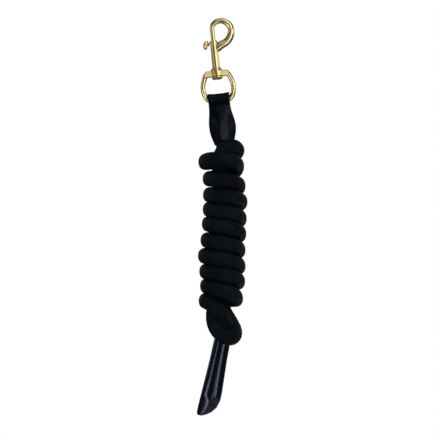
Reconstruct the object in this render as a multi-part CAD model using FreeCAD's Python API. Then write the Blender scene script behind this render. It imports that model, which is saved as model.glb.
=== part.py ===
"""Lead rope for leading a horse: a brass bolt snap, a leather tab sewn round the snap's swivel eye and
the rope's end, and a braided rope wound into a hank that ends in a leather-covered tail.

It hangs from the hook. Millimetres, +Z up, origin at the inner top seat of the hook. The snap has a frame
of its own, in which its bolt runs along +Z and the hook opens towards +X: snap_frame() leans it over.
"""
import FreeCAD, Part
import math
import os

V = FreeCAD.Vector

# ---- driving dimensions, mm ----
ROPE_R = 7.3
SNAP_LEAN_DEG = -6.0
SEAT_X, SEAT_Z = 8.44, 45.87

# snap, in the snap's own frame
BARREL_R, BARREL_TOP = 3.8, 29.5
FLANGE_R, FLANGE_H, FLANGE_FLARE = 5.7, 1.3, 0.8
BOLT_R, BOLT_TAIL, BOLT_TIP = 2.2, 20.0, 39.5
BORE_R, BORE_FLOOR = 2.27, 3.8
TIP_GAP = 0.1
SPIGOT_R, SPIGOT_H = 1.0, 1.5
SLOT_HALF, SLOT_LOW, SLOT_TOP = 1.35, 14.0, 28.5
KNOB_Z, KNOB_STEM_R = 27.0, 1.15
SPRING_WIRE_R, SPRING_R, SPRING_TURNS = 0.3, 1.55, 7
SHANK_R, SHANK_TOP, SHANK_FIT = 2.5, 2.8, 0.06
HEAD_R, HEAD_TIP_R = 5.7, 4.2
HEAD_TOP, HEAD_EDGE, HEAD_LOW = -6.6, -7.5, -9.6
COLLAR_R, COLLAR_TOP, COLLAR_LOW = 6.0, -0.3, -6.3
HOOK_LIMB = [  # centre x, centre z, half width, half depth
    (-0.6, 19.2, 3.3, 2.8), (2.4, 21.6, 4.4, 3.4), (5.8, 23.6, 4.45, 3.7), (9.7, 25.3, 4.05, 3.8),
    (13.8, 27.6, 3.85, 3.7), (17.0, 31.7, 3.7, 3.6), (18.75, 37.2, 3.45, 3.4), (17.9, 42.4, 3.2, 3.2),
    (14.2, 46.7, 2.95, 2.95), (8.9, 48.62, 2.75, 2.75), (4.6, 47.7, 2.7, 2.7),
    (1.6, 45.6, 2.5, 2.5), (0.2, 43.2, 2.3, 2.3), (0.0, 41.0, 2.2, 2.2), (0.0, 39.0, 2.2, 2.2),
]
KNOB_HEAD = [
    (-5.4, 28.3, 1.1, 1.1), (-7.0, 27.8, 1.9, 2.2), (-8.5, 25.7, 2.2, 2.9), (-8.4, 23.2, 1.95, 2.6),
    (-7.7, 21.5, 1.1, 1.4),
]
KNOB_ARM = [(-4.7, 26.9, 2.9, 1.15), (-5.7, 26.7, 2.5, 1.15), (-6.9, 26.5, 2.0, 1.15)]

# swivel eye
EYE_R, EYE_TOP_Z, EYE_BAR_Z = 2.5, -4.0, -31.0
EYE_TOP_X, EYE_SIDE_X, EYE_SIDE_Z, EYE_LOW_X = 11.2, 16.4, -16.5, 12.3
EYE_SHOULDER_R, EYE_SIDE_R, EYE_CORNER_R = 3.4, 20.0, 9.0
SHOULDER = [(3.5, -0.6), (11.4, -0.7), (13.2, -5.4), (12.2, -6.9), (3.5, -6.9)]
SHOULDER_HALF_TOP, SHOULDER_HALF_LOW = 2.3, 3.4

# leather tab
TAB_SHIFT = -0.6
LEATHER = 1.9
HINGE_Z = -29.9
FOLD_IN_R, FOLD_OUT_R = 4.3, 6.3
FOLD_MOUTH_R, FOLD_FLAT = 5.85, 6.6
PINCH_Z = -37.5
TAB_SECTIONS = [  # z, middle, half width, half depth, half thickness of the side flange
    (PINCH_Z, 0.0, 10.7, 1.95, 1.9), (-43.0, 0.2, 11.4, 4.2, 1.9), (-49.0, 0.5, 12.6, 7.3, 1.9),
    (-54.0, 0.7, 13.4, 9.1, 1.9), (-59.0, 0.8, 13.5, 9.4, 1.9), (-65.0, 0.7, 12.6, 9.3, 2.0),
    (-71.0, 0.8, 10.7, 9.2, 2.6), (-77.0, 1.0, 9.5, 9.2, 3.6),
]
FOLD_HALF_W = 10.8
TAB_END_LEFT, TAB_END_RIGHT = -74.4, -70.8
ROPE_TOP_Z = -53.5
WHIP_H = 7.0
TAB_LEAVE_Z = -74.0
STITCH_R, STITCH_PITCH = 0.42, 3.6
BAR_STITCHES, BAR_STITCH_HALF = 6, 2.7
SIDE_STITCHES, SIDE_STITCH_HALF, SIDE_STITCH_TOP = 8, 3.2, -42.0

# hank
HANK_SECTIONS = [  # z, centre x, half width, half depth
    (-131.0, 2.0, 16.0, 24.0), (-139.0, 1.4, 21.3, 28.6), (-160.0, 4.0, 20.2, 29.0),
    (-180.0, 5.0, 21.2, 29.2), (-215.0, 3.4, 21.8, 29.2), (-245.0, 1.8, 22.2, 29.2),
    (-268.0, 1.6, 21.2, 28.6), (-283.0, 0.5, 15.5, 20.0),
]
# centreline of each free stretch, chosen by hand
LEAD_IN = [(3.9, 4.0, -132.0), (2.4, 7.0, -144.0), (1.5, 7.6, -156.0)]
TOP_TURN = [
    (0.9, -7.5, -158.0), (-0.8, -9.5, -147.0), (-0.9, -11.5, -134.8), (4.6, -11.8, -124.8),
    (14.0, -6.5, -122.7), (18.3, 4.5, -127.0), (13.0, 15.5, -132.0),
]
BIGHT = [
    (-4.2, -7.5, -273.0), (-6.2, -7.8, -285.0), (-7.0, -9.2, -296.5), (-3.0, -11.5, -307.0),
    (5.0, -10.8, -313.2), (12.8, -4.5, -314.8), (15.8, 4.5, -309.0), (10.8, 10.5, -299.0),
    (4.0, 10.5, -288.5), (1.2, 8.0, -278.5),
]
TAIL_RUN = [
    (-13.5, -10.5, -277.0), (-7.0, -18.5, -280.5), (0.5, -16.5, -288.0), (5.0, -8.0, -297.0),
    (5.8, 1.5, -306.0), (3.6, 6.0, -317.5),
]

# leather-covered tail
END_START = (2.3, 6.0, -317.0)
END_ALONG = (-0.196, 0.0, -0.981)
END_CORE_R, END_CORE_L = 6.3, 46.0
END_STITCHES, END_STITCH_HALF, END_STITCH_TOP, END_STITCH_Y = 11, 0.9, 6.0, 7.3
END_SECTIONS = [  # distance from the mouth, left side, right side, half depth
    (0.0, -7.9, 7.9, 7.9), (20.0, -8.3, 8.3, 8.0), (40.0, -9.2, 9.2, 7.8), (52.0, -9.8, 9.8, 7.1),
    (60.0, -10.2, 9.6, 6.0), (67.5, -10.5, 7.3, 4.8), (72.8, -10.6, 3.4, 3.9), (76.2, -10.5, -1.2, 3.1),
    (78.2, -9.4, -5.6, 2.2),
]


def snap_frame(shape):
    """Leans a shape made in the snap's frame, and puts the hook's seat at the origin."""
    lean = FreeCAD.Rotation(V(0, 1, 0), SNAP_LEAN_DEG)
    seat = lean.multVec(V(SEAT_X, 0, SEAT_Z))
    out = shape.copy()
    out.Placement = FreeCAD.Placement(seat * -1, lean).multiply(shape.Placement)
    return out


def tab_frame(shape):
    """Like snap_frame, for the tab, which has slid a little to one side along the eye's bar."""
    out = shape.copy()
    out.translate(V(TAB_SHIFT, 0, 0))
    return snap_frame(out)


def snap_point(x, y, z):
    lean = FreeCAD.Rotation(V(0, 1, 0), SNAP_LEAN_DEG)
    return lean.multVec(V(x - SEAT_X, y, z - SEAT_Z))


def cylinder(r, low, high):
    return Part.makeCylinder(r, high - low, V(0, 0, low), V(0, 0, 1))


def box(x0, x1, y0, y1, z0, z1):
    return Part.makeBox(x1 - x0, y1 - y0, z1 - z0, V(x0, y0, z0))


def circle(centre, normal, r):
    return Part.Wire(Part.Circle(centre, normal, r).toShape())


def oval(centre, across, deep, count=20):
    """A closed curve with the two given half axes."""
    angles = [2 * math.pi * i / count for i in range(count)]
    points = [centre + across * math.cos(a) + deep * math.sin(a) for a in angles]
    curve = Part.BSplineCurve()
    curve.interpolate(Points=points, PeriodicFlag=True)
    return Part.Wire(curve.toShape())


def limb(rows):
    """A cast limb: oval sections along a smooth line through the given centres in XZ."""
    centres = [V(row[0], 0, row[1]) for row in rows]
    line = Part.BSplineCurve()
    line.interpolate(centres)
    rings = []
    for centre, row in zip(centres, rows):
        across = line.tangent(line.parameter(centre))[0].cross(V(0, 1, 0))
        rings.append(oval(centre, across * row[2], V(0, row[3], 0)))
    return Part.makeLoft(rings, True, False)


def rounded_path(points, radii):
    """Straight runs joined by tangent arcs of the given radii."""
    edges = []
    start = points[0]
    for before, corner, after, r in zip(points, points[1:], points[2:], radii):
        back = (before - corner).normalize()
        ahead = (after - corner).normalize()
        half = (math.pi - back.getAngle(ahead)) / 2
        cut = r * math.tan(half)
        mid = (back + ahead).normalize() * (r / math.cos(half) - r)
        first, last = corner + back * cut, corner + ahead * cut
        edges.append(Part.LineSegment(start, first).toShape())
        edges.append(Part.Arc(first, corner + mid, last).toShape())
        start = last
    edges.append(Part.LineSegment(start, points[-1]).toShape())
    return Part.Wire(edges)


def sweep(path, r):
    first = path.Edges[0]
    ring = circle(first.valueAt(first.FirstParameter), first.tangentAt(first.FirstParameter), r)
    return path.makePipeShell([ring], True, True)


def rope_tube(name, points, r=ROPE_R):
    """A stretch of rope. Each arc is as large as its two runs allow."""
    points = [V(*p) for p in points]
    radii = []
    for before, corner, after in zip(points, points[1:], points[2:]):
        half = (math.pi - (before - corner).getAngle(after - corner)) / 2
        shorter = min((before - corner).Length, (after - corner).Length)
        radii.append(0.45 * shorter / math.tan(half))
    path = rounded_path(points, radii)
    tube = sweep(path, r)
    share = tube.Volume / (math.pi * r * r * path.Length)
    print(name, "radii", [round(v, 1) for v in radii],
          "length", round(path.Length, 1), "volume share", round(share, 4))
    return tube


# ---- the snap ----
def snap_hook():
    barrel = cylinder(BARREL_R, 0, BARREL_TOP)
    barrel = barrel.makeFillet(0.7, [e for e in barrel.Edges if e.Curve.TypeId == "Part::GeomCircle"
                                     and e.BoundBox.ZMin > BARREL_TOP - 0.1])
    flange = cylinder(FLANGE_R, 0, FLANGE_H)
    flange = flange.makeFillet(0.6, [e for e in flange.Edges if e.Curve.TypeId == "Part::GeomCircle"])
    flare = Part.makeCone(BARREL_R + FLANGE_FLARE, BARREL_R, 2 * FLANGE_FLARE, V(0, 0, FLANGE_H - 0.3))
    flange = flange.fuse(flare)
    arch = limb(HOOK_LIMB).cut(cylinder(3, BOLT_TIP - 2, BOLT_TIP + TIP_GAP))
    body = barrel.fuse([flange, arch])
    slot = box(-BARREL_R - 3, 0, -SLOT_HALF, SLOT_HALF, SLOT_LOW, SLOT_TOP)
    bore = cylinder(BORE_R, BORE_FLOOR, BARREL_TOP + 1)
    stud_hole = cylinder(SHANK_R, -1, SHANK_TOP)
    return body.cut([bore, slot, stud_hole])


def slide_bolt():
    rod = cylinder(BOLT_R, BOLT_TAIL, BOLT_TIP)
    rod = rod.makeFillet(0.3, [e for e in rod.Edges if e.Curve.TypeId == "Part::GeomCircle"])
    spigot = cylinder(SPIGOT_R, BOLT_TAIL - SPIGOT_H, BOLT_TAIL + 0.5)
    stem_hole = Part.makeCylinder(KNOB_STEM_R, BOLT_R + 1, V(0, 0, KNOB_Z), V(-1, 0, 0))
    return rod.fuse(spigot).cut(stem_hole)


def thumb_knob():
    stem = Part.makeCylinder(KNOB_STEM_R, -KNOB_HEAD[1][0], V(0, 0, KNOB_Z), V(-1, 0, 0))
    return stem.fuse([limb(KNOB_HEAD), limb(KNOB_ARM)])


def bolt_spring():
    low = BORE_FLOOR + 0.05 + SPRING_WIRE_R
    height = BOLT_TAIL - 0.05 - SPRING_WIRE_R - low
    helix = Part.makeHelix(height / SPRING_TURNS, height, SPRING_R)
    rise = height / SPRING_TURNS
    along = V(0, 2 * math.pi * SPRING_R, rise)
    ring = circle(V(SPRING_R, 0, 0), along, SPRING_WIRE_R)
    coil = Part.Wire(helix.Edges).makePipeShell([ring], True, True)
    coil.translate(V(0, 0, low))
    return coil


def swivel_stud():
    shank = cylinder(SHANK_R, HEAD_TOP, SHANK_TOP)
    head = cylinder(HEAD_R, HEAD_EDGE, HEAD_TOP)
    tip = Part.makeCone(HEAD_TIP_R, HEAD_R, HEAD_EDGE - HEAD_LOW, V(0, 0, HEAD_LOW))
    return shank.fuse([head, tip])


def shoulder():
    """The squared corner beside the collar. Its front and back lean in towards the top."""
    outline = [V(x, -5, z) for x, z in SHOULDER]
    block = Part.Face(Part.makePolygon(outline + outline[:1])).extrude(V(0, 10, 0))
    top, low = SHOULDER[0][1], SHOULDER[-1][1]
    ends = [
        (-SHOULDER_HALF_TOP, top), (SHOULDER_HALF_TOP, top),
        (SHOULDER_HALF_LOW, low), (-SHOULDER_HALF_LOW, low),
    ]
    wedge = [V(0, y, z) for y, z in ends]
    block = block.common(Part.Face(Part.makePolygon(wedge + wedge[:1])).extrude(V(20, 0, 0)))
    return block.makeChamfer(0.6, [e for e in block.Edges if e.BoundBox.XMax > SHOULDER[0][0] + 0.1])


def swivel_eye():
    points = [
        V(0, 0, EYE_TOP_Z), V(EYE_TOP_X, 0, EYE_TOP_Z), V(EYE_SIDE_X, 0, EYE_SIDE_Z),
        V(EYE_LOW_X, 0, EYE_BAR_Z), V(0, 0, EYE_BAR_Z),
    ]
    path = rounded_path(points, [EYE_SHOULDER_R, EYE_SIDE_R, EYE_CORNER_R])
    half = sweep(path, EYE_R)
    other = half.mirror(V(0, 0, 0), V(1, 0, 0))
    collar = cylinder(COLLAR_R, COLLAR_LOW, COLLAR_TOP)
    collar = collar.makeFillet(0.7, [e for e in collar.Edges if e.Curve.TypeId == "Part::GeomCircle"])
    block = shoulder()
    ring = half.fuse([other, collar, block, block.mirror(V(0, 0, 0), V(1, 0, 0))])
    head_room = cylinder(HEAD_R + 0.4, COLLAR_LOW - 6, COLLAR_LOW)
    return ring.cut([cylinder(SHANK_R + SHANK_FIT, -12, 2), head_room])


# ---- the leather tab ----
def tab_section(z, middle, half_w, half_d, flange, count=40):
    """The closed lens of two leather plies, thin at both sides and bulging over what they hold."""
    points = []
    for i in range(count):
        angle = 2 * math.pi * (i + 0.5) / count
        rise = abs(math.sin(angle))
        depth = (flange + (half_d - flange) * rise ** 1.6) * rise ** 0.3
        points.append(V(middle + half_w * math.cos(angle), math.copysign(depth, math.sin(angle)), z))
    curve = Part.BSplineCurve()
    curve.interpolate(Points=points, PeriodicFlag=True)
    return Part.Wire(curve.toShape())


def fold_room():
    """The room inside the fold: round about the hinge line, wider at its mouths where the eye curves up."""
    past = FOLD_HALF_W + 1.0
    slope = (FOLD_MOUTH_R - FOLD_IN_R) / (FOLD_HALF_W - FOLD_FLAT)
    mouth = FOLD_MOUTH_R + slope * (past - FOLD_HALF_W)
    outline = [
        (-past, 0), (-past, mouth), (-FOLD_FLAT, FOLD_IN_R),
        (FOLD_FLAT, FOLD_IN_R), (past, mouth), (past, 0),
    ]
    points = [V(x, 0, HINGE_Z + r) for x, r in outline]
    return Part.Face(Part.makePolygon(points + points[:1])).revolve(V(0, 0, HINGE_Z), V(1, 0, 0), 360)


def tab_fold():
    """The strap's loop round the eye's bar, closed below by the pinch."""
    outer = Part.makeCylinder(FOLD_OUT_R, 2 * FOLD_HALF_W, V(-FOLD_HALF_W, 0, HINGE_Z), V(1, 0, 0))
    ends = [(-FOLD_OUT_R, HINGE_Z), (FOLD_OUT_R, HINGE_Z), (1.95, PINCH_Z - 0.5), (-1.95, PINCH_Z - 0.5)]
    wedge = [V(-FOLD_HALF_W, y, z) for y, z in ends]
    neck = Part.Face(Part.makePolygon(wedge + wedge[:1])).extrude(V(2 * FOLD_HALF_W, 0, 0))
    return outer.fuse(neck).cut(fold_room())


def tab_end_cut():
    """Everything below the tab's slanting lower edge."""
    points = [
        V(-30, -30, TAB_END_LEFT - 3.6), V(30, -30, TAB_END_RIGHT + 4.2),
        V(30, -30, -120), V(-30, -30, -120),
    ]
    return Part.Face(Part.makePolygon(points + points[:1])).extrude(V(0, 60, 0))


def leather_tab():
    sleeve = Part.makeLoft([tab_section(*row) for row in TAB_SECTIONS], True, False)
    body = sleeve.fuse(tab_fold()).cut(tab_end_cut())
    rope_room = cylinder(ROPE_R, -90, ROPE_TOP_Z)
    point_room = Part.makeCone(ROPE_R - 1.0, 0.6, 7.0, V(0, 0, ROPE_TOP_Z), V(0, 0, 1))
    return body.cut([rope_room, point_room])


def stitch_row(points, direction, half_length):
    reach = direction * half_length
    pegs = [Part.makeCylinder(STITCH_R, 2 * half_length, p - reach, direction) for p in points]
    return Part.makeCompound(pegs)


def tab_bar_stitching():
    """The row across the tab, just under the eye's bar."""
    middle = (BAR_STITCHES - 1) / 2
    points = [V((i - middle) * STITCH_PITCH, 0, PINCH_Z - 1.6) for i in range(BAR_STITCHES)]
    return stitch_row(points, V(0, 1, 0), BAR_STITCH_HALF)


def tab_side_stitching(side):
    """A row down one side flange."""
    points = []
    for i in range(SIDE_STITCHES):
        z = SIDE_STITCH_TOP - i * STITCH_PITCH
        middle, half_w = tab_width(z)
        points.append(V(middle + side * (half_w - 1.5), 0, z))
    return stitch_row(points, V(0, 1, 0), SIDE_STITCH_HALF)


def tab_width(z):
    """The tab's middle and half width at a height."""
    for upper, lower in zip(TAB_SECTIONS, TAB_SECTIONS[1:]):
        if upper[0] >= z >= lower[0]:
            share = (upper[0] - z) / (upper[0] - lower[0])
            return [upper[k] + share * (lower[k] - upper[k]) for k in (1, 2)]


def rope_whipping():
    """Twine round the rope's end inside the tab, let into the rope."""
    return cylinder(ROPE_R, ROPE_TOP_Z - WHIP_H, ROPE_TOP_Z)


# ---- the rope ----
def rope_lead_in():
    start = snap_point(TAB_SHIFT, 0, ROPE_TOP_Z - WHIP_H)
    leave = snap_point(TAB_SHIFT, 0, TAB_LEAVE_Z)
    return rope_tube("rope_lead_in", [start, leave, *LEAD_IN])


def hank_section(z, centre_x, half_w, half_d):
    """A wrap's outer shape: two half circles joined by straight sides."""
    flat = half_d - half_w
    a, b = V(centre_x + half_w, -flat, z), V(centre_x + half_w, flat, z)
    c, d = V(centre_x - half_w, flat, z), V(centre_x - half_w, -flat, z)
    back, front = V(centre_x, half_d, z), V(centre_x, -half_d, z)
    edges = [Part.LineSegment(a, b), Part.Arc(b, back, c), Part.LineSegment(c, d), Part.Arc(d, front, a)]
    return Part.Wire([e.toShape() for e in edges])


def rope_hank():
    return Part.makeLoft([hank_section(*row) for row in HANK_SECTIONS], True, False)


# ---- the tail's leather ----
def end_section(distance, left, right, half_d):
    """One section of the tail, whose slanting end comes from its right side drawing in."""
    along = V(*END_ALONG).normalize()
    side = along.cross(V(0, 1, 0)).normalize()
    centre = V(*END_START) + along * distance + side * ((left + right) / 2)
    return oval(centre, side * ((right - left) / 2), V(0, half_d, 0))


def rope_tail_core():
    """The rope's last stretch, squeezed inside the leather."""
    return Part.makeCylinder(END_CORE_R, END_CORE_L, V(*END_START), V(*END_ALONG))


def leather_end():
    return Part.makeLoft([end_section(*row) for row in END_SECTIONS], True, False).cut(rope_tail_core())


def end_stitching():
    """The seam that closes the leather down the back of the tail."""
    along = V(*END_ALONG).normalize()
    first = V(*END_START) + along * END_STITCH_TOP + V(0, END_STITCH_Y, 0)
    points = [first + along * (i * STITCH_PITCH) for i in range(END_STITCHES)]
    return stitch_row(points, V(0, 1, 0), END_STITCH_HALF)


PARTS = {
    "snap_hook": lambda: snap_frame(snap_hook()),
    "slide_bolt": lambda: snap_frame(slide_bolt()),
    "thumb_knob": lambda: snap_frame(thumb_knob()),
    "bolt_spring": lambda: snap_frame(bolt_spring()),
    "swivel_stud": lambda: snap_frame(swivel_stud()),
    "swivel_eye": lambda: snap_frame(swivel_eye()),
    "leather_tab": lambda: tab_frame(leather_tab()),
    "tab_bar_stitching": lambda: tab_frame(tab_bar_stitching()),
    "tab_left_stitching": lambda: tab_frame(tab_side_stitching(-1)),
    "tab_right_stitching": lambda: tab_frame(tab_side_stitching(1)),
    "rope_whipping": lambda: tab_frame(rope_whipping()),
    "rope_lead_in": rope_lead_in,
    "rope_top_turn": lambda: rope_tube("rope_top_turn", TOP_TURN),
    "rope_hank": rope_hank,
    "rope_bight": lambda: rope_tube("rope_bight", BIGHT),
    "rope_tail_run": lambda: rope_tube("rope_tail_run", TAIL_RUN),
    "leather_end": leather_end,
    "rope_tail_core": rope_tail_core,
    "end_stitching": end_stitching,
}

os.makedirs("parts", exist_ok=True)
for node, make in PARTS.items():
    solid = make()
    b = solid.BoundBox
    print(node, "valid", solid.isValid(), "solids", len(solid.Solids), "volume", round(solid.Volume, 1),
          "box", [round(v, 1) for v in (b.XMin, b.XMax, b.YMin, b.YMax, b.ZMin, b.ZMax)])
    solid.exportStep(f"parts/{node}.step")
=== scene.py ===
import math

import bpy
import numpy as np
from mathutils import Matrix, Vector


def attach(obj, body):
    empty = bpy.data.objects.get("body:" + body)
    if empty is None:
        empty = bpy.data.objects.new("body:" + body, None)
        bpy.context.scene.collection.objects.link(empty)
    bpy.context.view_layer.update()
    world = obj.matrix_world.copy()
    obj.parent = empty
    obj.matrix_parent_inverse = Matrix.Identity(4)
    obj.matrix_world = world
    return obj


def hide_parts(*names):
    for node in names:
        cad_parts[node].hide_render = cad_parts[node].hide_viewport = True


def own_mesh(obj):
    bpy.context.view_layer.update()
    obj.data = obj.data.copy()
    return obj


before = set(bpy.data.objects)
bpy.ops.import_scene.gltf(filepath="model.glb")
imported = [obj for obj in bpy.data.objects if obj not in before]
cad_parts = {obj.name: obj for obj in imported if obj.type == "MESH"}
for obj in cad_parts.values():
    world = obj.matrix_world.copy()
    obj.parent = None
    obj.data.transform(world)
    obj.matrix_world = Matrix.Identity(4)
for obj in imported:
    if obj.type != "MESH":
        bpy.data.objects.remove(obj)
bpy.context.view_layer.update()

# Lead rope, hanging from its snap's hook. Metres, in the CAD frame: origin at the hook's seat, +Z up.

MM = 0.001

# ---- the snap's frame: its bolt runs along w, and the hook opens towards u ----
LEAN = Matrix.Rotation(math.radians(-6.0), 3, "Y")
TAB_SHIFT = -0.6
SEAT = Vector((8.44, 0.0, 45.87))


def snap_point(u, y, w):
    """A point of the snap's frame, given in millimetres, in the row frame in metres."""
    return (LEAN @ (Vector((u, y, w)) - SEAT)) * MM


# ---- camera ----
VIEW_WIDTH, VIEW_MID_Z, CAMERA_AWAY = 0.440, -0.1965, 2.2


def make_camera():
    data = bpy.data.cameras.new("camera")
    data.sensor_width = 36.0
    data.lens = data.sensor_width * CAMERA_AWAY / VIEW_WIDTH
    camera = bpy.data.objects.new("camera", data)
    camera.location = (0.0, -CAMERA_AWAY, VIEW_MID_Z)
    camera.rotation_euler = (math.radians(90), 0, 0)
    bpy.context.scene.collection.objects.link(camera)
    bpy.context.scene.camera = camera


make_camera()

# ---- the rope's route, in millimetres ----
ROPE_R = 7.3
ROPE_TOP_W, TAB_LEAVE_W, TAB_MOUTH_W = -60.5, -74, -73
LEAD_IN = [(3.9, 4.0, -132.0), (2.4, 7.0, -144.0), (1.5, 7.6, -156.0)]
BACK_STRAND = [(4.6, 7.3, -180.0), (3.6, 7.4, -218.0), (2.2, 7.3, -254.0)]
BIGHT = [
    (-4.2, -7.5, -273.0), (-6.2, -7.8, -285.0), (-7.0, -9.2, -296.5), (-3.0, -11.5, -307.0),
    (5.0, -10.8, -313.2), (12.8, -4.5, -314.8), (15.8, 4.5, -309.0), (10.8, 10.5, -299.0),
    (4.0, 10.5, -288.5), (1.2, 8.0, -278.5),
]
FRONT_STRAND = [(1.0, -7.3, -248.0), (3.6, -7.4, -214.0), (4.8, -7.3, -182.0)]
TOP_TURN = [
    (0.9, -7.5, -158.0), (-0.8, -9.5, -147.0), (-0.9, -11.5, -134.8), (4.6, -11.8, -124.8),
    (14.0, -6.5, -122.7), (18.3, 4.5, -127.0), (13.0, 15.5, -132.0),
]
TAIL_RUN = [
    (-13.5, -10.5, -277.0), (-7.0, -18.5, -280.5), (0.5, -16.5, -288.0), (5.0, -8.0, -297.0),
    (5.8, 1.5, -306.0), (3.8, 5.8, -314.5),
]
END_START, END_ALONG = Vector((2.3, 6.0, -317.0)), Vector((-0.196, 0.0, -0.981)).normalized()
END_CORE = 46.0

# The hank's turns: where the outer edge of each lobe stands, x and z, right and left in turn.
RIGHT_LOBES = [(24.5, -129.0), (23.3, -142.7), (24.7, -162.5), (26.7, -178.4), (25.9, -195.5),
               (25.5, -210.7), (24.7, -226.9), (24.8, -243.1), (24.3, -258.2), (22.2, -275.5)]
LEFT_LOBES = [(-20.9, -138.7), (-16.5, -155.3), (-16.2, -171.5), (-16.5, -185.9), (-17.4, -200.5),
              (-18.7, -216.7), (-21.3, -232.3), (-19.9, -247.9), (-19.1, -262.4), (-20.4, -277.4)]
STEPS_PER_TURN = 16
HANK_CORE_Y = 7.3
LOOSEN = 1.1
FLATTEN = 0.05
FALL = 1.9
FIRST_ARCH = 3.0


def hank_turns():
    """The turns round the two straight strands, from the first right lobe's back to the last left lobe."""
    right_at = [2 * i for i in range(len(RIGHT_LOBES))]
    left_at = [2 * i + 1 for i in range(len(LEFT_LOBES))]
    lobe_z = {}
    for at, (_, z) in zip(right_at + left_at, RIGHT_LOBES + LEFT_LOBES):
        lobe_z[at] = z
    points = []
    half = STEPS_PER_TURN // 2
    first = 3
    for step in range(first, half * (len(lobe_z) - 1) + 1):
        lobe = step / half
        before = min(int(lobe), len(lobe_z) - 2)
        part = lobe - before
        # each turn falls slowly past its left lobe and fast past its right one
        fall = part ** FALL if before % 2 else 1 - (1 - part) ** FALL
        z = lobe_z[before] + (lobe_z[before + 1] - lobe_z[before]) * fall
        if before == 1:
            z += FIRST_ARCH * math.sin(math.pi * part)
        right = np.interp(lobe, right_at, [x - ROPE_R for x, _ in RIGHT_LOBES])
        left = np.interp(lobe, left_at, [x + ROPE_R for x, _ in LEFT_LOBES])
        mid, reach = (right + left) / 2, (right - left) / 2 + LOOSEN
        angle = math.pi * lobe
        points.append((mid + reach * math.cos(angle), (reach + HANK_CORE_Y) * math.sin(angle), z))
    return points


def rope_route():
    top = [snap_point(TAB_SHIFT, 0, w) / MM for w in (ROPE_TOP_W, TAB_LEAVE_W)]
    tail = [END_START, END_START + END_ALONG * END_CORE * 0.45, END_START + END_ALONG * END_CORE]
    points = [*top, *LEAD_IN, *BACK_STRAND, *reversed(BIGHT), *FRONT_STRAND, *TOP_TURN, *hank_turns(),
              *TAIL_RUN, *tail]
    return [Vector(p) * MM for p in points]


def nurbs_line(points, resolution=10):
    """The points along the smooth NURBS line that has these control points."""
    data = bpy.data.curves.new("route", "CURVE")
    data.dimensions = "3D"
    data.resolution_u = resolution
    spline = data.splines.new("NURBS")
    spline.points.add(len(points) - 1)
    for knot, p in zip(spline.points, points):
        knot.co = (*p, 1.0)
    spline.order_u = 3
    spline.use_endpoint_u = True
    holder = bpy.data.objects.new("route", data)
    mesh = bpy.data.meshes.new_from_object(holder)
    line = np.array([v.co for v in mesh.vertices], float)
    bpy.data.meshes.remove(mesh)
    bpy.data.objects.remove(holder)
    bpy.data.curves.remove(data)
    return line


def spaced(line, step):
    """The line again, with points about step apart, and how far along it each one is."""
    along = np.concatenate([[0], np.cumsum(np.linalg.norm(np.diff(line, axis=0), axis=1))])
    at = np.linspace(0, along[-1], int(round(along[-1] / step)) + 1)
    return np.stack([np.interp(at, along, line[:, k]) for k in range(3)], axis=1), at


def carried_frames(line):
    """Two directions across the line at each point, which turn with it and don't twist about it."""
    along = np.gradient(line, axis=0)
    along /= np.linalg.norm(along, axis=1)[:, None]
    across = np.zeros_like(line)
    start = np.cross(along[0], [0.0, 1.0, 0.0])
    across[0] = start / np.linalg.norm(start)
    for i in range(1, len(line)):
        step = line[i] - line[i - 1]
        size = step @ step
        mirrored = across[i - 1] - 2 / size * (step @ across[i - 1]) * step
        tangent = along[i - 1] - 2 / size * (step @ along[i - 1]) * step
        other = along[i] - tangent
        turned = mirrored - 2 / max(other @ other, 1e-18) * (other @ mirrored) * other
        turned -= (turned @ along[i]) * along[i]
        across[i] = turned / np.linalg.norm(turned)
    return across, np.cross(along, across)


def ring_faces(rows, count, base=0):
    """The faces of a tube of rings of points, numbered from base, with a cap at each end."""
    faces = []
    for r in range(rows - 1):
        for c in range(count):
            d = (c + 1) % count
            low, high = base + r * count, base + (r + 1) * count
            faces.append((low + c, low + d, high + d, high + c))
    faces.append(tuple(base + c for c in range(count - 1, -1, -1)))
    faces.append(tuple(base + (rows - 1) * count + c for c in range(count)))
    return faces


def grid_mesh(name, points, uv=None):
    """A closed mesh over rows of points, each row a ring, with a cap over the first and the last."""
    rows, count = points.shape[:2]
    faces = ring_faces(rows, count)
    mesh = bpy.data.meshes.new(name)
    mesh.from_pydata(points.reshape(-1, 3).tolist(), [], faces)
    if uv is not None:
        layer = mesh.uv_layers.new(name="lay")
        corner = np.zeros(len(mesh.loops), int)
        mesh.loops.foreach_get("vertex_index", corner)
        uvs = uv.reshape(-1, 2)[corner]
        starts = np.zeros(len(mesh.polygons), int)
        mesh.polygons.foreach_get("loop_start", starts)
        # the last column of faces ends one whole turn further on
        seam = starts[: (rows - 1) * count].reshape(rows - 1, count)[:, -1]
        for k in (1, 2):
            uvs[seam + k, 0] += 1.0
        layer.data.foreach_set("uv", uvs.ravel())
    mesh.validate()
    mesh.polygons.foreach_set("use_smooth", [True] * len(mesh.polygons))
    mesh.update()
    obj = bpy.data.objects.new(name, mesh)
    bpy.context.scene.collection.objects.link(obj)
    return obj


# ---- the rope: a braid of two sets of strands, each passing over and under the other ----
COLUMNS = 14
PICK = 4.6 * MM
RING_STEP = 1.1 * MM
RING_POINTS = 64
BRAID_RISE = 0.8 * MM
BRAID_MIDDLE = 0.6
SQUARE = 2.3
END_SQUEEZE = 0.14


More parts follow.
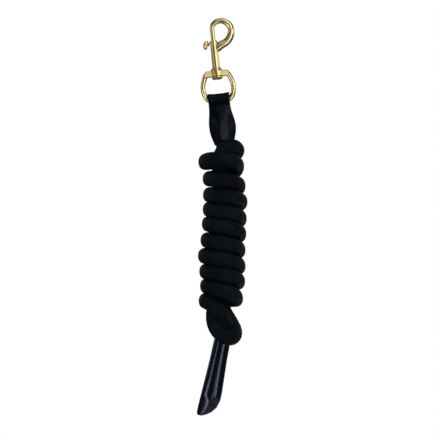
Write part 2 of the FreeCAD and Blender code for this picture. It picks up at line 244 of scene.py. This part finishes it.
def braid_rise(turn, along):
    """The height of the braid's surface at a share of a turn and a distance along, 0 to 1."""
    a = turn * COLUMNS + along / PICK
    b = turn * COLUMNS - along / PICK
    cell_a, cell_b = np.floor(a), np.floor(b)
    across_a, across_b = a - cell_a - 0.5, b - cell_b - 0.5
    over = (cell_a + cell_b) % 2 == 0
    width = np.where(over, across_a, across_b)
    length = np.where(over, across_b, across_a)
    return np.sqrt(np.maximum(0, 1 - (1.96 * width) ** 2)) * (0.5 + 0.5 * np.cos(math.pi * length))


WRAP_TOP, WRAP_LOW, WRAP_FADE = -0.128, -0.290, 0.008


def wrap_share(line, at):
    """1 where the line runs level round the hank, 0 where it hangs straight or leaves it."""
    slope = np.abs(np.gradient(line[:, 2], at))
    level = 1 - smooth((slope - 0.35) / 0.4)
    z = line[:, 2]
    inside = smooth((WRAP_TOP - z) / WRAP_FADE) * smooth((z - WRAP_LOW) / WRAP_FADE)
    share = level * inside
    width = int(12 * MM / (at[1] - at[0]))
    return np.convolve(share, np.ones(width) / width, mode="same")


def smooth(x):
    x = np.clip(x, 0, 1)
    return x * x * (3 - 2 * x)


def make_rope():
    line, at = spaced(nurbs_line(rope_route()), RING_STEP)
    across, up = carried_frames(line)
    turn = np.arange(RING_POINTS) / RING_POINTS
    total = at[-1]
    inside_end = np.clip((at - (total - END_CORE * MM)) / (6 * MM), 0, 1)
    radius = ROPE_R * MM * (1 - END_SQUEEZE * inside_end)
    turns, alongs = np.meshgrid(turn, at)
    rise = braid_rise(turns, alongs) - BRAID_MIDDLE
    r = radius[:, None] + BRAID_RISE * rise
    angle = 2 * math.pi * turns
    out = across[:, None] * np.cos(angle)[..., None] + up[:, None] * np.sin(angle)[..., None]
    # the wraps press against each other, so they are squared off a little and taller than they are deep
    pressed = wrap_share(line, at)[:, None]
    level, upright = np.hypot(out[..., 0], out[..., 1]), np.abs(out[..., 2])
    squared = (level ** SQUARE + upright ** SQUARE) ** (-1 / SQUARE)
    r = r * (1 + pressed * (squared - 1))
    shallow = 1 - 0.5 * FLATTEN * pressed
    stretch = np.stack([shallow, shallow, 1 + FLATTEN * pressed], axis=-1)
    points = line[:, None] + out * r[..., None] * stretch
    uv = np.stack([turns, alongs / (2 * math.pi * ROPE_R * MM)], axis=-1)
    rope = grid_mesh("rope", points, uv=uv)
    # the braid's height at each point, 1 on a strand's crown and 0 in a groove, which the rope's material
    # uses to paint shade into the grooves
    groove_shade = rope.data.attributes.new("groove_shade", "FLOAT", "POINT")
    groove_shade.data.foreach_set("value", np.clip(rise + BRAID_MIDDLE, 0, 1).ravel())
    print("rope length", round(float(total), 4), "faces", len(rope.data.polygons))
    return rope, line, float(total)


rope, rope_line, rope_length = make_rope()

# ---- leather tab ----
LEATHER = 1.9
HINGE_W = -29.9
FOLD_OUT_R = 6.3
PINCH_W = -37.5
TAB_SECTIONS = np.array([  # height, middle, half width, half depth, half thickness of the side
    (-77.0, 1.0, 9.5, 9.2, 3.6), (-71.0, 0.8, 10.7, 9.2, 2.6), (-65.0, 0.7, 12.6, 9.3, 2.0),
    (-59.0, 0.8, 13.5, 9.4, 1.9), (-54.0, 0.7, 13.4, 9.1, 1.9), (-49.0, 0.5, 12.6, 7.6, 1.9),
    (-43.0, 0.2, 11.4, 5.2, 1.9), (-37.5, 0.0, 10.75, 3.3, 1.9), (-30.0, 0.0, 10.8, 3.3, 1.9),
    (-20.0, 0.0, 11.0, 3.3, 1.9),
])
TAB_LEFT_END, TAB_RIGHT_END = -75.0, -70.6
TAB_COLUMNS, TAB_ROWS_DOWN, TAB_ROWS_FOLD = 81, 90, 20
TAB_EDGE_PINCH = 0.10
CREASE_U = -2.3
FACET_AT, FACET_HEIGHT = (-1.0, -0.23, 0.42, 1.0), (0.0, 1.0, 0.70, 0.0)


def tab_shape(w):
    """The tab's middle, half width, half depth and side thickness at a height, its corners rounded."""
    near = [w - 3, w - 1.5, w, w + 1.5, w + 3]
    return [float(np.mean(np.interp(near, TAB_SECTIONS[:, 0], TAB_SECTIONS[:, k]))) for k in (1, 2, 3, 4)]


def tab_u(share, w):
    middle, half_w, _, _ = tab_shape(w)
    return middle + share * half_w


def tab_depth(u, w, side):
    """How far the tab's outer surface stands from its middle plane, at its front (-1) or its back (1)."""
    middle, half_w, half_d, flange = tab_shape(w)
    share = (u - middle) / half_w
    if side > 0:
        return flange + (half_d - flange) * max(0.0, 1 - share ** 2) ** 0.8
    # the front ply stands over the rope in flat facets, whose ridge sharpens into a crease lower down
    blur = 0.17 - 0.14 * smooth((-54.0 - w) / 7.0)
    near = share + blur * np.linspace(-1, 1, 21)
    return flange + (half_d - flange) * float(np.mean(np.interp(near, FACET_AT, FACET_HEIGHT)))


def tab_end(u):
    """The lower edge: level to the right of the crease, and slanting down to the left of it."""
    left = TAB_LEFT_END + (TAB_RIGHT_END + 0.6 - TAB_LEFT_END) * (u + 10.0) / (CREASE_U + 10.0)
    return min(left, TAB_RIGHT_END) if u < CREASE_U else TAB_RIGHT_END


def fold_radius(u):
    """The fold's outer radius, which swells where the eye's bar bends upwards."""
    return FOLD_OUT_R + 0.45 * float(smooth((abs(u) - 5.0) / 4.0))


def tab_surface(offset):
    """Rows across the strap, from the front's lower edge up over the bar and down the back."""
    share = np.linspace(-1, 1, TAB_COLUMNS)
    rows = []

    def leaf(side, t):
        # t runs from the lower edge, 0, to the start of the fold, 1
        out = []
        for c in share:
            low = float(tab_end(c * 10.5))
            w = low + (HINGE_W - low) * t
            u = tab_u(c, w)
            full = float(tab_depth(u, w, side))
            neck = float(smooth((w - PINCH_W - 0.3) / (HINGE_W - PINCH_W - 0.3)))
            depth = full * (1 - neck) + fold_radius(u) * neck
            depth = max(depth - offset, 0.05)
            round_edge = 1 - TAB_EDGE_PINCH * abs(c) ** 12
            out.append((u, side * depth * round_edge, w))
        return out

    for i in range(TAB_ROWS_DOWN):
        rows.append(leaf(-1, i / (TAB_ROWS_DOWN - 1)))
    for i in range(1, TAB_ROWS_FOLD):
        angle = math.pi * i / TAB_ROWS_FOLD
        row = []
        for c in share:
            u = tab_u(c, HINGE_W + FOLD_OUT_R * math.sin(angle))
            r = fold_radius(u) - offset
            round_edge = 1 - TAB_EDGE_PINCH * abs(c) ** 12
            row.append((u, -r * math.cos(angle) * round_edge, HINGE_W + r * math.sin(angle)))
        rows.append(row)
    for i in range(TAB_ROWS_DOWN - 1, -1, -1):
        rows.append(leaf(1, i / (TAB_ROWS_DOWN - 1)))
    return np.array(rows)


def make_tab():
    outer = tab_surface(0.0)
    inner = tab_surface(LEATHER)
    # a ring for each row: the outer face from left to right, then the inner face back
    ring = np.concatenate([outer, inner[:, ::-1]], axis=1)
    points = np.array([[snap_point(u + TAB_SHIFT, y, w) for u, y, w in row] for row in ring])
    tab = grid_mesh("leather_strap", points)
    bevel = tab.modifiers.new("edge", "BEVEL")
    bevel.width = 0.35 * MM
    bevel.segments = 2
    bevel.limit_method = "ANGLE"
    bevel.angle_limit = math.radians(50)
    return tab


tab = make_tab()

# ---- leather-covered tail ----
END_SECTIONS = [
    (0.0, -7.9, 7.9, 7.9), (20.0, -8.3, 8.3, 8.0), (40.0, -9.2, 9.2, 7.8), (52.0, -9.8, 9.8, 7.1),
    (60.0, -10.2, 9.6, 6.8), (67.5, -10.5, 7.3, 6.1), (72.8, -10.6, 3.4, 5.1), (76.2, -10.5, -1.2, 3.7),
    (78.2, -9.4, -5.6, 2.2),
]
END_RING_POINTS = 72
END_STAND_OUT = 0.35


def make_end():
    table = np.array(END_SECTIONS)
    side = END_ALONG.cross(Vector((0, 1, 0))).normalized()
    rings = []
    at = np.concatenate([np.linspace(0, 60, 61), np.linspace(60.5, 76.0, 32), np.linspace(76.2, 78.2, 11)])
    for s in at:
        left, right, depth = (np.interp(s, table[:, 0], table[:, k]) for k in (1, 2, 3))
        ring = []
        # the round sleeve flattens into a ridged point
        power = 1 + 0.75 * smooth((s - 56) / 9)
        for i in range(END_RING_POINTS):
            angle = 2 * math.pi * i / END_RING_POINTS
            c, d = math.cos(angle), math.sin(angle)
            half = (right - left) / 2 + END_STAND_OUT
            across = (left + right) / 2 + half * math.copysign(abs(c) ** power, c)
            out = depth * math.copysign(abs(d) ** power, d)
            p = END_START + END_ALONG * float(s) + side * float(across) + Vector((0, float(out), 0))
            ring.append(p * MM)
        rings.append(ring)
    return grid_mesh("tail_leather", np.array(rings))


end = make_end()


# ---- stitches ----
STITCH_R = 0.42


def stitch_ring(points, radius, sides=8):
    line = np.array(points)
    across, up = carried_frames(line)
    angle = 2 * math.pi * np.arange(sides) / sides
    return (line[:, None] + across[:, None] * (radius[:, None] * np.cos(angle))[..., None]
            + up[:, None] * (radius[:, None] * np.sin(angle))[..., None])


def make_stitches(name, places):
    """One mesh of many stitches. Each place is the start, the end and the outward direction of one stitch."""
    bits = []
    for start, stop, out in places:
        t = np.linspace(0, 1, 9)
        line = [start.lerp(stop, float(k)) + out * (0.35 * math.sin(math.pi * k) - 0.3) for k in t]
        thick = STITCH_R * (0.55 + 0.45 * np.sin(math.pi * t) ** 0.5)
        bits.append(stitch_ring([p * MM for p in line], thick * MM))
    vertices, faces = [], []
    for bit in bits:
        faces += ring_faces(*bit.shape[:2], base=len(vertices))
        vertices += bit.reshape(-1, 3).tolist()
    mesh = bpy.data.meshes.new(name)
    mesh.from_pydata(vertices, [], faces)
    mesh.polygons.foreach_set("use_smooth", [True] * len(mesh.polygons))
    obj = bpy.data.objects.new(name, mesh)
    bpy.context.scene.collection.objects.link(obj)
    return obj


STITCH_PITCH, STITCH_HALF = 3.6, 1.25
SIDE_STITCHES, SIDE_STITCH_TOP = 8, -42.0
BAR_STITCHES = 6
END_STITCHES, END_STITCH_TOP = 11, 6.0


def tab_side_places(side):
    places = []
    for i in range(SIDE_STITCHES):
        w0 = SIDE_STITCH_TOP - i * STITCH_PITCH + STITCH_HALF
        w1 = SIDE_STITCH_TOP - i * STITCH_PITCH - STITCH_HALF
        for face in (-1, 1):
            ends = []
            for w in (w0, w1):
                middle, half_w, _, _ = tab_shape(w)
                u = middle + side * (half_w - 1.7)
                ends.append(snap_point(u + TAB_SHIFT, face * float(tab_depth(u, w, face)), w) / MM)
            places.append((ends[0], ends[1], Vector((0, face, 0))))
    return places


def tab_bar_places():
    places = []
    for i in range(BAR_STITCHES):
        u = (i - (BAR_STITCHES - 1) / 2) * STITCH_PITCH
        for face in (-1, 1):
            w = PINCH_W - 1.6
            ends = [snap_point(u + d + TAB_SHIFT, face * float(tab_depth(u + d, w, face)), w) / MM
                    for d in (-STITCH_HALF, STITCH_HALF)]
            places.append((ends[0], ends[1], Vector((0, face, 0))))
    return places


left_stitches = make_stitches("tab_left_stitches", tab_side_places(-1))
right_stitches = make_stitches("tab_right_stitches", tab_side_places(1))
bar_stitches = make_stitches("tab_bar_stitches", tab_bar_places())


def end_places():
    places = []
    table = np.array(END_SECTIONS)
    for i in range(END_STITCHES):
        s = END_STITCH_TOP + i * STITCH_PITCH
        back = Vector((0, np.interp(s, table[:, 0], table[:, 3]), 0))
        a, b = (END_START + END_ALONG * (s + d) + back for d in (-STITCH_HALF, STITCH_HALF))
        places.append((a, b, Vector((0, 1, 0))))
    return places


end_stitches = make_stitches("tail_stitches", end_places())


# ---- spring ----
BORE_FLOOR, BOLT_TAIL, SPRING_GAP = 3.8, 20.0, 0.05
SPRING_TURNS, SPRING_R, SPRING_WIRE_R = 7, 1.55, 0.3


def make_spring():
    low = BORE_FLOOR + SPRING_GAP + SPRING_WIRE_R
    high = BOLT_TAIL - SPRING_GAP - SPRING_WIRE_R
    line = []
    for share in np.linspace(0, 1, SPRING_TURNS * 24 + 1):
        angle = 2 * math.pi * SPRING_TURNS * share
        across, deep = SPRING_R * math.cos(angle), SPRING_R * math.sin(angle)
        line.append(snap_point(across, deep, low + (high - low) * share))
    ring = stitch_ring(line, np.full(len(line), SPRING_WIRE_R * MM), sides=10)
    return grid_mesh("coil_spring", ring)


spring = make_spring()


# ---- materials ----
def material(name):
    m = bpy.data.materials.new(name)
    m.use_nodes = True
    nodes = m.node_tree.nodes
    shader = nodes["Principled BSDF"]
    return m, nodes, m.node_tree.links, shader


def noise(nodes, scale, detail=4.0, rough=0.55):
    n = nodes.new("ShaderNodeTexNoise")
    n.inputs["Scale"].default_value = scale
    n.inputs["Detail"].default_value = detail
    n.inputs["Roughness"].default_value = rough
    return n


def ramp(nodes, low, high, colour_a, colour_b):
    r = nodes.new("ShaderNodeValToRGB")
    r.color_ramp.elements[0].position = low
    r.color_ramp.elements[1].position = high
    r.color_ramp.elements[0].color = (*colour_a, 1)
    r.color_ramp.elements[1].color = (*colour_b, 1)
    return r


def spread(nodes, low, high):
    r = nodes.new("ShaderNodeMapRange")
    r.inputs["To Min"].default_value = low
    r.inputs["To Max"].default_value = high
    return r


def object_coordinates(nodes, links, *targets):
    c = nodes.new("ShaderNodeTexCoord")
    for t in targets:
        links.new(c.outputs["Object"], t.inputs["Vector"])


def brass():
    m, nodes, links, shader = material("polished_brass")
    shader.inputs["Metallic"].default_value = 1.0
    tint = noise(nodes, 90.0)
    colours = ramp(nodes, 0.3, 0.75, (0.74, 0.58, 0.26), (0.86, 0.70, 0.37))
    links.new(tint.outputs["Fac"], colours.inputs["Fac"])
    links.new(colours.outputs["Color"], shader.inputs["Base Color"])
    wear = noise(nodes, 160.0, 4.0, 0.6)
    rough = spread(nodes, 0.24, 0.32)
    links.new(wear.outputs["Fac"], rough.inputs["Value"])
    links.new(rough.outputs["Result"], shader.inputs["Roughness"])
    cast = noise(nodes, 70.0, 1.0)
    bump = nodes.new("ShaderNodeBump")
    bump.inputs["Strength"].default_value = 0.03
    bump.inputs["Distance"].default_value = 0.0003
    links.new(cast.outputs["Fac"], bump.inputs["Height"])
    links.new(bump.outputs["Normal"], shader.inputs["Normal"])
    object_coordinates(nodes, links, tint, wear, cast)
    return m


def steel():
    m, nodes, links, shader = material("spring_wire")
    shader.inputs["Metallic"].default_value = 1.0
    tint = noise(nodes, 900.0)
    colours = ramp(nodes, 0.3, 0.7, (0.45, 0.45, 0.47), (0.66, 0.66, 0.68))
    links.new(tint.outputs["Fac"], colours.inputs["Fac"])
    links.new(colours.outputs["Color"], shader.inputs["Base Color"])
    shader.inputs["Roughness"].default_value = 0.28
    object_coordinates(nodes, links, tint)
    return m


def leather(name, gloss, shine, shade):
    m, nodes, links, shader = material(name)
    tone = noise(nodes, 60.0)
    colours = ramp(nodes, 0.3, 0.75, tuple(0.75 * s for s in shade), tuple(1.35 * s for s in shade))
    links.new(tone.outputs["Fac"], colours.inputs["Fac"])
    links.new(colours.outputs["Color"], shader.inputs["Base Color"])
    scuff = noise(nodes, 300.0, 5.0)
    rough = spread(nodes, gloss - 0.06, gloss + 0.10)
    links.new(scuff.outputs["Fac"], rough.inputs["Value"])
    links.new(rough.outputs["Result"], shader.inputs["Roughness"])
    shader.inputs["Specular IOR Level"].default_value = shine
    shader.inputs["Specular Tint"].default_value = (0.74, 0.85, 1.0, 1)
    grain = nodes.new("ShaderNodeTexVoronoi")
    grain.feature = "SMOOTH_F1"
    grain.inputs["Scale"].default_value = 1300.0
    wrinkle = noise(nodes, 520.0, 5.0, 0.6)
    mix = nodes.new("ShaderNodeMath")
    mix.operation = "MULTIPLY_ADD"
    mix.inputs[1].default_value = 0.6
    links.new(grain.outputs["Distance"], mix.inputs[0])
    links.new(wrinkle.outputs["Fac"], mix.inputs[2])
    bump = nodes.new("ShaderNodeBump")
    bump.inputs["Strength"].default_value = 0.35
    bump.inputs["Distance"].default_value = 0.00025
    links.new(mix.outputs["Value"], bump.inputs["Height"])
    links.new(bump.outputs["Normal"], shader.inputs["Normal"])
    object_coordinates(nodes, links, tone, scuff, grain, wrinkle)
    return m


def braid():
    m, nodes, links, shader = material("braided_rope")
    tone = noise(nodes, 45.0, 5.0)
    # painted shade: the colour runs from near black in the braid's grooves to the rope's own dark blue-grey
    # on the crowns, by the braid's height times a random tone
    groove_shade = nodes.new("ShaderNodeAttribute")
    groove_shade.attribute_name = "groove_shade"
    shade = nodes.new("ShaderNodeMath")
    shade.operation = "MULTIPLY"
    links.new(tone.outputs["Fac"], shade.inputs[0])
    links.new(groove_shade.outputs["Fac"], shade.inputs[1])
    colours = ramp(nodes, 0.08, 0.50, (0.0003, 0.0004, 0.0006), (0.0078, 0.0114, 0.0152))
    links.new(shade.outputs["Value"], colours.inputs["Fac"])
    links.new(colours.outputs["Color"], shader.inputs["Base Color"])
    shader.inputs["Roughness"].default_value = 0.5
    shader.inputs["Specular IOR Level"].default_value = 0.045
    place = nodes.new("ShaderNodeUVMap")
    place.uv_map = "lay"
    fibre = nodes.new("ShaderNodeTexWave")
    fibre.wave_type = "BANDS"
    fibre.bands_direction = "DIAGONAL"
    fibre.inputs["Scale"].default_value = 60.0
    fibre.inputs["Distortion"].default_value = 1.5
    links.new(place.outputs["UV"], fibre.inputs["Vector"])
    bump = nodes.new("ShaderNodeBump")
    bump.inputs["Strength"].default_value = 0.5
    bump.inputs["Distance"].default_value = 0.0002
    links.new(fibre.outputs["Fac"], bump.inputs["Height"])
    links.new(bump.outputs["Normal"], shader.inputs["Normal"])
    object_coordinates(nodes, links, tone)
    return m


def thread(name, shade):
    m, nodes, links, shader = material(name)
    tone = noise(nodes, 1500.0, 3.0)
    colours = ramp(nodes, 0.3, 0.7, tuple(0.7 * s for s in shade), tuple(1.5 * s for s in shade))
    links.new(tone.outputs["Fac"], colours.inputs["Fac"])
    links.new(colours.outputs["Color"], shader.inputs["Base Color"])
    shader.inputs["Roughness"].default_value = 0.7
    shader.inputs["Specular IOR Level"].default_value = 0.08
    object_coordinates(nodes, links, tone)
    return m


BRASS = brass()
TAB_LEATHER = leather("tab_leather", 0.29, 0.125, (0.0009, 0.0016, 0.0034))
END_LEATHER = leather("tail_leather", 0.15, 0.50, (0.0008, 0.0014, 0.0080))
ROPE = braid()
THREAD = thread("waxed_thread", (0.0016, 0.0020, 0.0034))
STEEL = steel()


def give(obj, made):
    obj.data.materials.clear()
    obj.data.materials.append(made)


def repaint(node, made):
    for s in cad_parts[node].material_slots:
        s.link = "OBJECT"
        s.material = made


for node in ("snap_hook", "slide_bolt", "thumb_knob", "swivel_stud", "swivel_eye"):
    repaint(node, BRASS)
repaint("rope_whipping", THREAD)

give(rope, ROPE)
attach(rope, "lead")
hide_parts("rope_lead_in", "rope_top_turn", "rope_hank", "rope_bight", "rope_tail_run",
            "rope_tail_core")

give(tab, TAB_LEATHER)
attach(tab, "lead")
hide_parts("leather_tab")

give(end, END_LEATHER)
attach(end, "lead")
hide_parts("leather_end")

for piece, node in ((left_stitches, "tab_left_stitching"), (right_stitches, "tab_right_stitching"),
                    (bar_stitches, "tab_bar_stitching"), (end_stitches, "end_stitching")):
    give(piece, THREAD)
    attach(piece, "lead")
    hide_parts(node)

give(spring, STEEL)
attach(spring, "snap")
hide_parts("bolt_spring")
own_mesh(spring)


# ---- floor, world and lights ----
FLOOR_RADIUS, FLOOR_Z, FLOOR_POINTS = 0.22, -0.52, 96


def make_floor():
    data = bpy.data.meshes.new("floor")
    rim = []
    for i in range(FLOOR_POINTS):
        angle = 2 * math.pi * i / FLOOR_POINTS
        rim.append((FLOOR_RADIUS * math.cos(angle), FLOOR_RADIUS * math.sin(angle), FLOOR_Z))
    data.from_pydata(rim, [], [tuple(range(FLOOR_POINTS))])
    floor = bpy.data.objects.new("floor", data)
    bpy.context.scene.collection.objects.link(floor)
    m, _, _, shader = material("pale_floor")
    shader.inputs["Base Color"].default_value = (0.9, 0.9, 0.9, 1)
    shader.inputs["Roughness"].default_value = 0.8
    data.materials.append(m)


def make_world():
    world = bpy.data.worlds.new("studio")
    bpy.context.scene.world = world
    world.use_nodes = True
    nodes, links = world.node_tree.nodes, world.node_tree.links
    back = nodes["Background"]
    seen = nodes.new("ShaderNodeBackground")
    seen.inputs["Color"].default_value = (1, 1, 1, 1)
    back.inputs["Color"].default_value = (0.82, 0.86, 0.92, 1)
    back.inputs["Strength"].default_value = 0.08
    path = nodes.new("ShaderNodeLightPath")
    mix = nodes.new("ShaderNodeMixShader")
    links.new(path.outputs["Is Camera Ray"], mix.inputs["Fac"])
    links.new(back.outputs["Background"], mix.inputs[1])
    links.new(seen.outputs["Background"], mix.inputs[2])
    links.new(mix.outputs["Shader"], nodes["World Output"].inputs["Surface"])


LIGHTS = [  # name, azimuth, elevation, distance, width, height, power
    ("left_strip", -50, -16, 1.4, 0.36, 0.8, 4.2),
    ("right_strip", 31, 5, 1.4, 0.40, 1.5, 7.0),
    ("left_panel", -80, 17, 1.3, 1.1, 0.34, 1.1),
    ("right_panel", 78, 17, 1.3, 1.3, 0.36, 2.0),
    ("front_top", 37, 47, 1.4, 0.32, 0.75, 2.4),
    ("low_front", 20, -24, 1.3, 0.6, 0.4, 0.9),
    ("front_panel", -6, 31, 1.4, 0.7, 0.4, 1.0),
    ("top", 10, 80, 1.2, 1.0, 1.0, 2.0),
    ("back_left", -142, 14, 1.6, 1.3, 0.8, 1.8),
    ("back_right", 142, 14, 1.6, 1.3, 0.8, 2.4),
    ("back_low", 150, -28, 1.6, 1.0, 0.6, 1.8),
]


def softbox(name, azimuth, elevation, away, width, height, power):
    """A soft light round the hank's middle: azimuth 0 stands at the camera, 90 to its right."""
    data = bpy.data.lights.new(name, "AREA")
    data.shape = "RECTANGLE"
    data.size, data.size_y = width, height
    data.energy = power
    light = bpy.data.objects.new(name, data)
    a, e = math.radians(azimuth), math.radians(elevation)
    target = Vector((0, 0, VIEW_MID_Z))
    towards = Vector((math.sin(a) * math.cos(e), -math.cos(a) * math.cos(e), math.sin(e)))
    light.location = target + away * towards
    light.rotation_euler = (target - light.location).to_track_quat("-Z", "Y").to_euler()
    bpy.context.scene.collection.objects.link(light)


make_floor()
make_world()
for row in LIGHTS:
    softbox(*row)

scene = bpy.context.scene
scene.view_settings.view_transform = "Standard"
scene.view_settings.look = "None"
